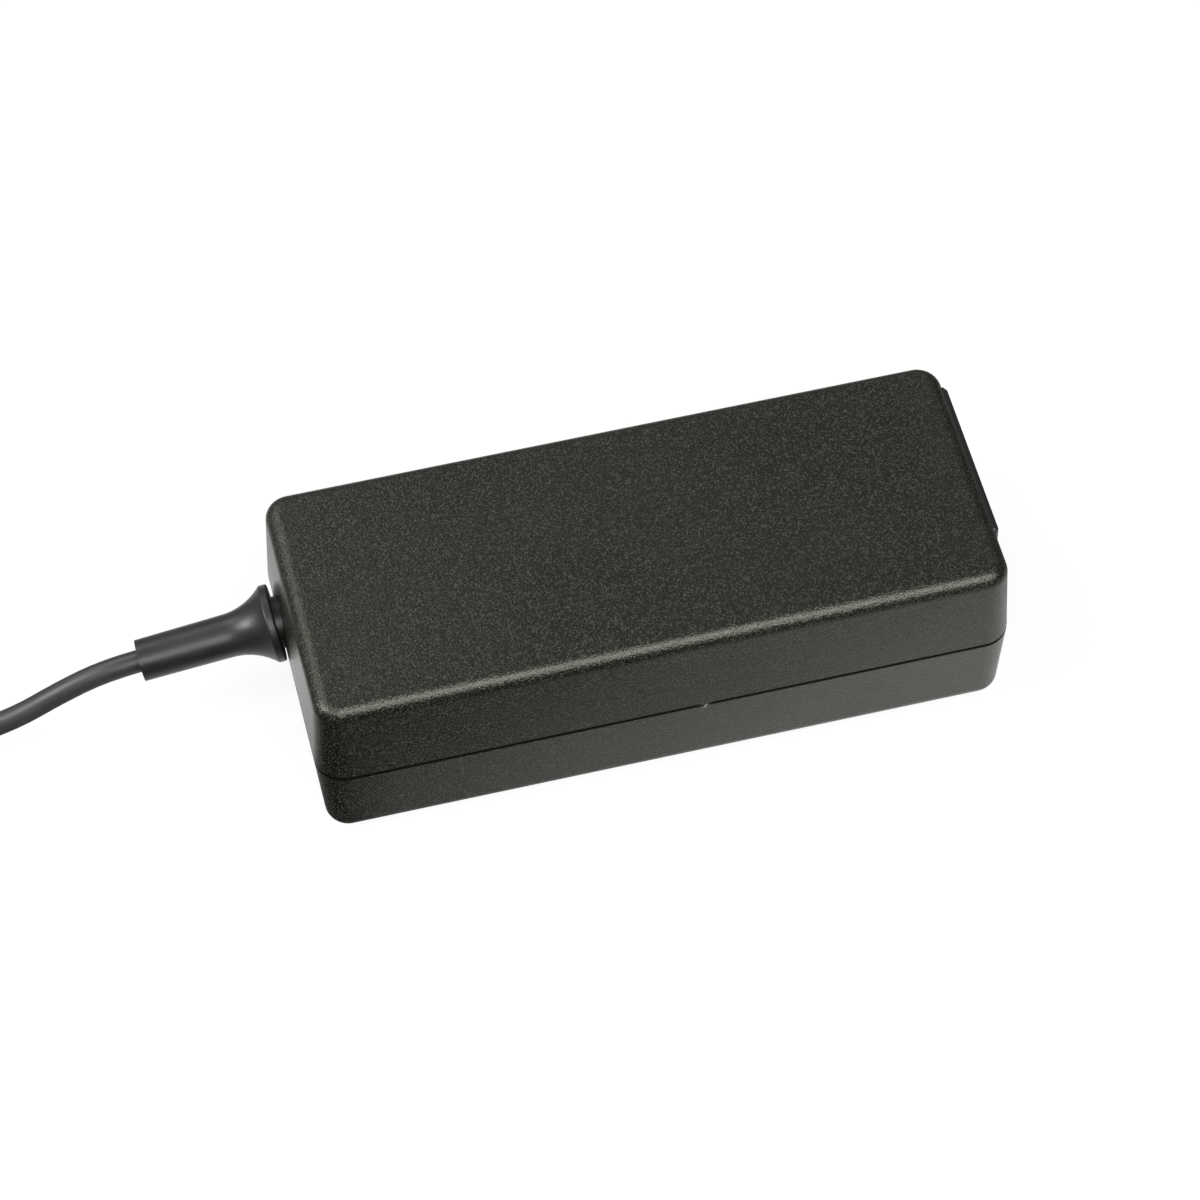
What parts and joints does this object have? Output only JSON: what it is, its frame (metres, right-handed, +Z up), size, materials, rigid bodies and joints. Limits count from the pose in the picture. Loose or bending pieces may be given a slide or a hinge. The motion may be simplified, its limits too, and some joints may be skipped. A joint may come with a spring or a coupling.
{
  "type": "power adapter",
  "caption": "Oblong mains power adapter with a recessed three-pin mains inlet in one end and a thin low-voltage lead, coiled and tied, ending in a straight barrel plug.",
  "frame": {"origin": "middle of the case's underside, on the surface it stands on", "axes": "+X along the case towards the mains inlet, +Y towards the long side nearer the lead, +Z up"},
  "size_m": [0.2305, 0.064, 0.0304],
  "materials": {
    "case_plastic": "spark-eroded grain, dark warm charcoal",
    "inlet_plastic": "fine satin black",
    "pin_metal": "nickel-plated brass, satin",
    "relief_plastic": "smooth semi-gloss black",
    "board": "glass-epoxy laminate",
    "spreader_metal": "mill finish",
    "film": "thin insulation film",
    "fuse_body": "moulded fuse case",
    "ferrite": "sintered ferrite, ground faces",
    "copper": "enamelled copper wire",
    "filter_capacitor_case": "potted box",
    "capacitor_sleeve": "sleeved aluminium can",
    "component_plastic": "moulded epoxy",
    "screw_steel": "zinc plated",
    "bobbin_plastic": "glass-filled moulding",
    "winding_tape": "polyester tape over wire",
    "ceramic_disc": "dipped ceramic disc",
    "wire_red": "insulated conductor",
    "wire_black": "insulated conductor",
    "cord_jacket": "smooth satin jacket",
    "tie_strap": "woven hook-and-loop strap",
    "plug_plastic": "satin moulded grip",
    "plug_metal": "nickel-plated brass",
    "plug_insulation": "black insulator"
  },
  "bodies": {
    "root": {"upper_shell": "case_plastic", "lower_shell": "case_plastic", "inlet_housing": "inlet_plastic", "line_pin": "pin_metal", "neutral_pin": "pin_metal", "earth_pin": "pin_metal", "strain_relief": "relief_plastic", "circuit_board": "board", "heat_spreader": "spreader_metal", "insulation_film": "film", "floor_film": "film", "mains_fuse": "fuse_body", "line_choke_core": "ferrite", "line_choke_winding_front": "copper", "line_choke_winding_back": "copper", "filter_capacitor": "filter_capacitor_case", "bulk_capacitor": "capacitor_sleeve", "primary_heat_sink": "spreader_metal", "switch_transistor": "component_plastic", "transistor_screw": "screw_steel", "transformer_core_lower": "ferrite", "transformer_core_upper": "ferrite", "transformer_bobbin": "bobbin_plastic", "transformer_winding": "winding_tape", "output_capacitor_front": "capacitor_sleeve", "output_capacitor_back": "capacitor_sleeve", "output_choke_core": "ferrite", "output_choke_winding": "copper", "safety_capacitor": "ceramic_disc", "output_rectifier": "component_plastic", "optocoupler": "component_plastic", "controller_chip": "component_plastic", "bridge_rectifier": "component_plastic", "output_wire_positive": "wire_red", "output_wire_return": "wire_black", "cord_lead": "cord_jacket", "cord_coil": "cord_jacket", "cord_tail": "cord_jacket", "cord_tie": "tie_strap", "plug_grip": "plug_plastic", "plug_barrel": "plug_metal", "plug_insulator": "plug_insulation", "plug_contact": "plug_metal"}
  },
  "joints": []
}
